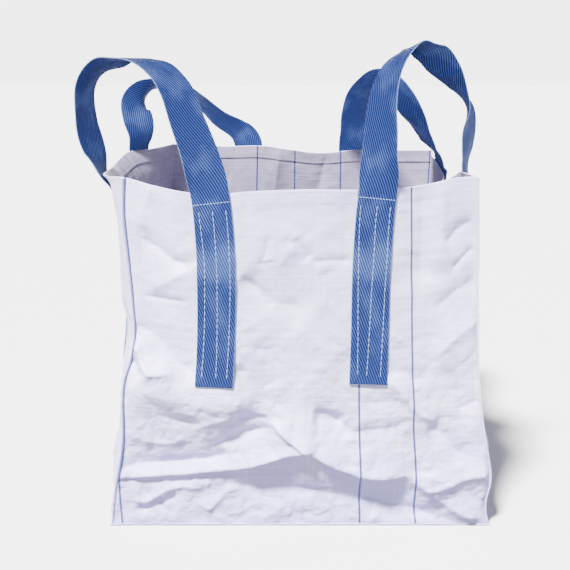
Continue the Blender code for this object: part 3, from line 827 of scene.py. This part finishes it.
def make_base(material):
    """The slack square bottom, sewn to the walls round its edge."""
    share = np.linspace(-0.5, 0.5, 61)
    x, y = np.meshgrid(share * (BASE_SIDE - 0.003), share * (BASE_SIDE - 0.003), indexing="ij")
    slack = 0.5 + 0.5 * soft_noise(x, y, 0.09, 61)
    inside = np.clip((BASE_SIDE / 2 - np.maximum(np.abs(x), np.abs(y))) / 0.10, 0, 1)
    z = FABRIC / 2 + 0.0004 + 0.0035 * slack * inside
    places = np.stack([x, y, z], axis=-1)
    obj = grid_mesh("base_fabric", places, places[..., :2] + BASE_SIDE, material)
    set_stripe_distance(obj, np.full(x.size, NO_STRIPE))
    thicken(obj)
    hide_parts("base_panel")
    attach(obj, "bag")


# Straps

def leg_point(leg, side, t):
    """Places on a sewn leg: side from -1 to 1 across it, t their height on the wall."""
    wall = leg[0]
    middle = leg_middle(leg, t)
    along = smooth_wall(wall, middle + 0.01, t) - smooth_wall(wall, middle - 0.01, t)
    u = middle + side * HALF_WEBBING * 0.02 / np.linalg.norm(along, axis=-1)
    return slack_wall(wall, u, t, fine=False) + LEG_LIFT * wall_normal(wall, u, t)


def leg_rows(leg, heights, flip):
    """The middle line of a sewn leg, with the direction across it, row by row.

    The webbing is stiffer than the fabric, so it spans the folds that it crosses.
    """
    spots = np.array([leg_point(leg, np.full(len(heights), side), heights)
                      for side in np.linspace(-1, 1, 9)])
    middle = spots[4]
    across = unit(spots[-1] - spots[0])
    normal = wall_normal(leg[0], leg_middle(leg, heights), heights)
    out = unit(normal - np.sum(normal * across, axis=1, keepdims=True) * across)
    proud = np.max(np.sum((spots - middle) * out, axis=-1), axis=0)
    return np.concatenate([middle + proud[:, None] * out, flip * across], axis=1)


def strap_line(first, second, route):
    """The whole strap's middle line, from the end of one leg to the end of the other."""
    up = np.linspace(LEG_BOTTOM, LEG_ROOT, 22)
    arch = [np.r_[place, unit(np.array(across))] for place, across in route]
    rows = [*leg_rows(first, up, 1), *arch, *leg_rows(second, up[::-1], -1)]
    return curve_through(rows, steps=12)


# Places across the webbing, close together at its edges, as shares of half the width
SIDES = np.r_[-1.0, -0.995, -0.98, np.linspace(-0.955, 0.955, STRAP_COLUMNS), 0.98, 0.995, 1.0]


def strap_surface(line, rows):
    """Middle places, directions across and out of the webbing, and lengths along it."""
    share = np.linspace(0, 1, rows)
    row = at(line, share)
    tangent = unit(np.gradient(row[:, :3], axis=0))
    across = row[:, 3:] - np.sum(row[:, 3:] * tangent, axis=1, keepdims=True) * tangent
    across = unit(across)
    out = np.cross(across, tangent)
    length = np.linalg.norm(np.diff(line[:, :3], axis=0), axis=1).sum()
    return row[:, :3], across, out, share * length


STRAPS = {}                   # each strap's surface, kept for its stitches


def strap_cup(corner, x, y):
    """How far the webbing's sides curl out of its plane."""
    return 0.0010 * soft_noise(x * 0.4, y, 0.05, len(corner)) * np.abs(x) / HALF_WEBBING


def strap_place(strap, corner, x, y, lift):
    """Places at x across and y along a strap, lifted off its middle, and the way out of it."""
    middle, across, out, along = strap
    rows = []
    for values in (middle, across, out):
        rows.append(np.stack([np.interp(y, along, column) for column in values.T], axis=-1))
    height = lift + strap_cup(corner, x, y)
    return rows[0] + x[..., None] * rows[1] + height[..., None] * rows[2], rows[2]


def rib_height(x, y):
    """The relief of the webbing's diagonal ribs, 0 in a groove and 1 on a rib."""
    return 0.5 + 0.5 * np.sin(2 * pi * (x + RIB_SLOPE * y) / RIB_PITCH)


def make_strap(corner, material):
    """One lifting loop: a single length of webbing from leg to leg."""
    first, second, route = LOOPS[corner]
    STRAPS[corner] = strap_surface(strap_line(first, second, route), STRAP_ROWS)
    middle, across, out, along = STRAPS[corner]
    x = np.broadcast_to(SIDES * HALF_WEBBING, (STRAP_ROWS, len(SIDES)))
    y = np.broadcast_to(along[:, None], x.shape)
    half = WEBBING / 2 * (1 - np.abs(SIDES)**60)**0.5
    ribs = RIB_RELIEF * (1 - rib_height(x, y)) * (1 - np.abs(SIDES)**40)
    cup = strap_cup(corner, x, y)
    front = middle[:, None] + x[..., None] * across[:, None]
    front = front + cup[..., None] * out[:, None]
    upper = front + (half - ribs)[..., None] * out[:, None]
    lower = front - (half - ribs)[..., None] * out[:, None]
    rings = np.concatenate([upper[:, ::-1], lower[:, 1:-1]], axis=1)
    flat = np.stack([x, y], axis=-1)
    flat = np.concatenate([flat[:, ::-1], flat[:, 1:-1]], axis=1)
    obj = tube_mesh(f"{corner}_strap", rings, flat, material)
    legs = f"{corner}_loop_{first[0]}_leg", f"{corner}_loop_side_leg"
    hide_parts(*legs, f"{corner}_loop_arch")
    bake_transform(obj)
    return obj


# Thread

def thread_curve(name, runs, radius, *materials):
    """Many short threads in one curve object, the second half in the last material."""
    curve = bpy.data.curves.new(name, "CURVE")
    curve.dimensions = "3D"
    curve.bevel_depth = radius
    curve.bevel_resolution = 1
    curve.use_fill_caps = True
    for material in materials:
        curve.materials.append(material)
    for number, run in enumerate(runs):
        line = curve.splines.new("POLY")
        line.points.add(len(run) - 1)
        line.material_index = int(len(materials) * number / len(runs))
        for point, place in zip(line.points, run):
            point.co = (*place, 1.0)
    return add_object(name, curve)


def stitches(surface, start, end, length, gap, sink, rng):
    """Separate stitches along a line on a surface, each a low arc that dips at its ends.

    surface(points) gives places and outward directions for rows of (side, t).
    """
    start, end = np.array(start, dtype=float), np.array(end, dtype=float)
    ends, _ = surface(np.array([start, end]))
    total = np.linalg.norm(ends[1] - ends[0])
    count = max(1, int(total / (length + gap)))
    runs = []
    for number in range(count):
        low = (number + 0.5 * gap / (length + gap)) / count
        high = (number + 1 - 0.5 * gap / (length + gap)) / count
        share = low + (high - low) * np.array([0.0, 0.12, 0.5, 0.88, 1.0])
        sway = rng.normal(0, 0.0025)
        points = start + (end - start) * share[:, None] + np.array([sway, 0.0])
        places, out = surface(points)
        lift = np.array([-1.0, 0.25, 0.55, 0.25, -1.0]) * sink
        runs.append(places + lift[:, None] * out)
    return runs


def make_leg_stitching(corner, number, name, material):
    """Three long rows of stitches on a sewn leg, and one row across under the rim."""
    rng = np.random.default_rng(len(corner) * 7 + len(name))
    strap = STRAPS[corner]
    leg = leg_rows(LOOPS[corner][number], np.linspace(LEG_BOTTOM, 1.0, 22), 1)
    length = np.linalg.norm(np.diff(leg[:, :3], axis=0), axis=1).sum()

    def surface(points):
        x, y = points[:, 0] * HALF_WEBBING, points[:, 1]
        if number == 1:
            y = strap[3][-1] - y
        return strap_place(strap, corner, x, y, WEBBING / 2)

    runs = []
    for low_side, high_side in STITCH_SIDES:
        wander = rng.normal(0, 0.05, 4)
        turns = np.linspace(rng.uniform(0.012, 0.026), length - ROW_DROP, 4)
        sides = np.linspace(low_side, high_side, 4) + wander
        for turn in range(3):
            runs += stitches(surface, (sides[turn], turns[turn]),
                             (sides[turn + 1], turns[turn + 1]),
                             STITCH_LENGTH, STITCH_SPACE, THREAD_RADIUS, rng)
    bar = length - BAR_DROP
    runs += stitches(surface, (-0.96, bar), (0.96, bar), BAR_STITCH_LENGTH, BAR_STITCH_SPACE,
                     THREAD_RADIUS, rng)
    obj = thread_curve(name, runs, THREAD_RADIUS, material)
    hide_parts(name)
    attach(obj, "bag")


def make_hem_stitching(material, shaded_inner_material):
    """The hem's stitches, seen inside and outside all round the mouth."""
    rng = np.random.default_rng(5)
    runs = []
    height = 1 - (HEM_DEPTH - 0.004) / WALL_HEIGHT
    for face, lift in ((1, FABRIC / 2), (-1, FABRIC / 2 + 1.7 * HEM_FOLD)):
        for wall in WALLS:

            def surface(points, wall=wall, face=face, lift=lift):
                u, t = points[:, 0], points[:, 1]
                normal = wall_normal(wall, u, t)
                return slack_wall(wall, u, t) + face * lift * normal, face * normal

            for start in np.linspace(0.006, 0.994, HEM_STITCH_RUNS + 1)[:-1]:
                runs += stitches(surface, (start, height), (start + 0.0412, height),
                                 HEM_STITCH_LENGTH, HEM_STITCH_SPACE, HEM_THREAD, rng)
    # The stitches seen inside get the darker thread: painted shade
    obj = thread_curve("hem_stitches", runs, HEM_THREAD, material, shaded_inner_material)
    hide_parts("rim_hem_stitching")
    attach(obj, "bag")


# Seams

def flange(name, roots, outs, reach, material):
    """A sewn seam allowance: a thin fin along a line, its edge a little uneven."""
    count = len(roots)
    side = unit(np.cross(np.gradient(roots, axis=0), outs))
    profile = ((-0.25, 0.0), (0.0, 0.9), (0.45, 0.8), (0.85, 0.9), (1.0, 0.45), (1.0, -0.45),
               (0.85, -0.9), (0.45, -0.8), (0.0, -0.9))
    rings = np.empty((count, len(profile), 3))
    for i, (far, thick) in enumerate(profile):
        rings[:, i] = roots + (reach * far)[:, None] * outs + thick * FABRIC * side
    run = np.r_[0.0, np.cumsum(np.linalg.norm(np.diff(roots, axis=0), axis=1))]
    across = np.array([far * 0.005 for far, _ in profile])
    flat = np.stack(np.broadcast_arrays(across[None, :], run[:, None]), axis=-1)
    obj = tube_mesh(name, rings, flat, material)
    set_stripe_distance(obj, np.full(len(obj.data.vertices), NO_STRIPE))
    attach(obj, "bag")
    return obj


def overlock(name, roots, outs, reach, material):
    """The thread that binds a seam's edge: a zigzag round the fin."""
    side = unit(np.cross(np.gradient(roots, axis=0), outs)) * FABRIC * 1.35
    run = []
    for number in range(len(roots)):
        face = 1 if number % 2 else -1
        run.append(roots[number] + 0.20 * reach[number] * outs[number] + face * side[number])
        run.append(roots[number] + 1.05 * reach[number] * outs[number])
    obj = thread_curve(name, [run], 0.0003, material)
    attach(obj, "bag")


def make_corner_seam(corner, fabric_look, thread_look):
    """The seam down a corner, where the edges of two walls are sewn face to face."""
    after = next(wall for wall, ends in WALLS.items() if ends[0] == corner)
    t = np.linspace(0.006, 0.998, 230)
    roots = slack_wall(after, np.full(t.shape, EDGE_GAP), t)
    outs = np.tile(unit(CORNERS[corner][0] * (1.0, 1.0, 0.0)), (len(t), 1))
    wander = soft_noise(t * WALL_HEIGHT, np.zeros(t.shape), 0.045, 31 + len(corner))
    reach = 0.0042 + 0.0010 * wander
    seam = flange(f"{corner}_seam", roots, outs, reach, fabric_look)
    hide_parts(f"{corner}_corner_seam")
    overlock(f"{corner}_seam_thread", roots, outs, reach, thread_look)


def make_base_seam(fabric_look, thread_look):
    """The seam round the base, with a small ear at each corner."""
    half = HALF_BASE - 0.001
    share = np.linspace(-1, 1, 241)[:-1]
    turns = ((share, -1.0), (1.0, share), (-share, 1.0), (-1.0, -share))
    square = [np.stack(np.broadcast_arrays(x, y, 0.0), axis=-1) for x, y in turns]
    spots = np.concatenate(square)
    spots = np.concatenate([spots, spots[:1]])
    corner = np.clip(np.minimum(np.abs(spots[:, 0]), np.abs(spots[:, 1])) - 0.93, 0, 1) / 0.07
    outs = unit(spots * (np.abs(spots) > 0.985))
    outs[..., 2] = 0.0
    wander = soft_noise(spots[:, 0] * 3, spots[:, 1] * 3, 0.12, 8)
    roots = spots * half
    roots[:, 2] = 0.0030 + 0.0005 * wander
    reach = 0.0032 + 0.0008 * wander + 0.003 * corner**2
    seam = flange("base_seam", roots, outs, reach, fabric_look)
    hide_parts(*[f"{wall}_base_seam" for wall in WALLS])
    overlock("base_seam_thread", roots, outs, reach, thread_look)


def add_floor():
    """A plain pale floor that isn't part of the object."""
    mesh = bpy.data.meshes.new("floor")
    corners = [(x * FLOOR_REACH, y * FLOOR_REACH, 0) for x, y in ((-1, -1), (1, -1), (1, 1), (-1, 1))]
    mesh.from_pydata(corners, [], [(0, 1, 2, 3)])
    material, _, shader = new_material("floor")
    shader.inputs["Base Color"].default_value = (*FLOOR_COLOUR, 1.0)
    shader.inputs["Roughness"].default_value = 0.9
    mesh.materials.append(material)
    obj = add_object("floor", mesh)
    obj.visible_diffuse = False


def add_world():
    """A studio with a pale band round the horizon, dark above and below it."""
    world = bpy.data.worlds.new("studio")
    bpy.context.scene.world = world
    world.use_nodes = True
    tree = world.node_tree
    where = tree.nodes.new("ShaderNodeTexCoord")
    split = tree.nodes.new("ShaderNodeSeparateXYZ")
    connect(tree, where.outputs["Generated"], split.inputs[0])
    ramp = tree.nodes.new("ShaderNodeValToRGB")
    connect(tree, Value(tree, split.outputs[2]) * 0.5 + 0.5, ramp.inputs[0])
    # Direction, from 0 straight down to 1 straight up, and brightness
    stops = ((0.47, 0.32), (0.49, 4.6), (0.54, 4.6), (0.57, 0.32))
    while len(ramp.color_ramp.elements) < len(stops):
        ramp.color_ramp.elements.new(0.5)
    for element, (position, level) in zip(ramp.color_ramp.elements, stops):
        element.position = position
        element.color = (level, level, level * 1.02, 1.0)
    connect(tree, ramp.outputs[0], tree.nodes["Background"].inputs["Color"])


def add_lights(bag, straps):
    """A soft key from above the front left, weak fills, and lights on the bag's back."""
    groups = {name: bpy.data.collections.new(name)
              for name in ("fabric_only", "webbing_only", "all_but_webbing")}
    groups["fabric_only"].objects.link(bag)
    for strap in straps:
        groups["webbing_only"].objects.link(strap)
        groups["all_but_webbing"].objects.link(strap)
    for member in groups["all_but_webbing"].collection_objects:
        member.light_linking.link_state = "EXCLUDE"
    for name, (place, power, softness, group) in LAMPS.items():
        lamp = bpy.data.lights.new(name, "SUN")
        lamp.energy = power
        lamp.angle = radians(softness)
        obj = add_object(name, lamp)
        obj.location = place
        aim = Vector(LAMP_AIM) - obj.location
        obj.rotation_euler = aim.to_track_quat("-Z", "Y").to_euler()
        obj.light_linking.receiver_collection = groups[group]


make_camera()
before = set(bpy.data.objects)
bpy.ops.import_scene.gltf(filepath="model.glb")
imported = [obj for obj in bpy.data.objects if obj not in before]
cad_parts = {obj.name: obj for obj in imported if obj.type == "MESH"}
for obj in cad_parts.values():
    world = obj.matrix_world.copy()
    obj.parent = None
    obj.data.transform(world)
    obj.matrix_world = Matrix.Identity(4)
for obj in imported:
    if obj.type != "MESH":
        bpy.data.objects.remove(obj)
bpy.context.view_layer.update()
fabric = fabric_material("woven_fabric", *FABRIC_COLOURS)
# A darker copy of the fabric for the bag's inside: painted shade
shaded_inner_fabric = fabric_material("woven_fabric_inside_shaded", *SHADED_INNER_FABRIC_COLOURS)
webbing = webbing_material()
thread = thread_material("thread", *THREAD_COLOURS)
shaded_inner_thread = thread_material("thread_inside_shaded", *SHADED_INNER_THREAD_COLOURS)
bag = make_fabric(fabric, shaded_inner_fabric)
# The base gets the darker inside copy of the fabric: painted shade
make_base(shaded_inner_fabric)
make_base_seam(fabric, thread)
make_hem_stitching(thread, shaded_inner_thread)
straps = []
for corner, (first, _, _) in LOOPS.items():
    make_corner_seam(corner, fabric, thread)
    straps.append(make_strap(corner, webbing))
    for number, place in enumerate((first[0], "side")):
        make_leg_stitching(corner, number, f"{corner}_loop_{place}_leg_stitching", thread)
add_floor()
add_world()
add_lights(bag, straps)
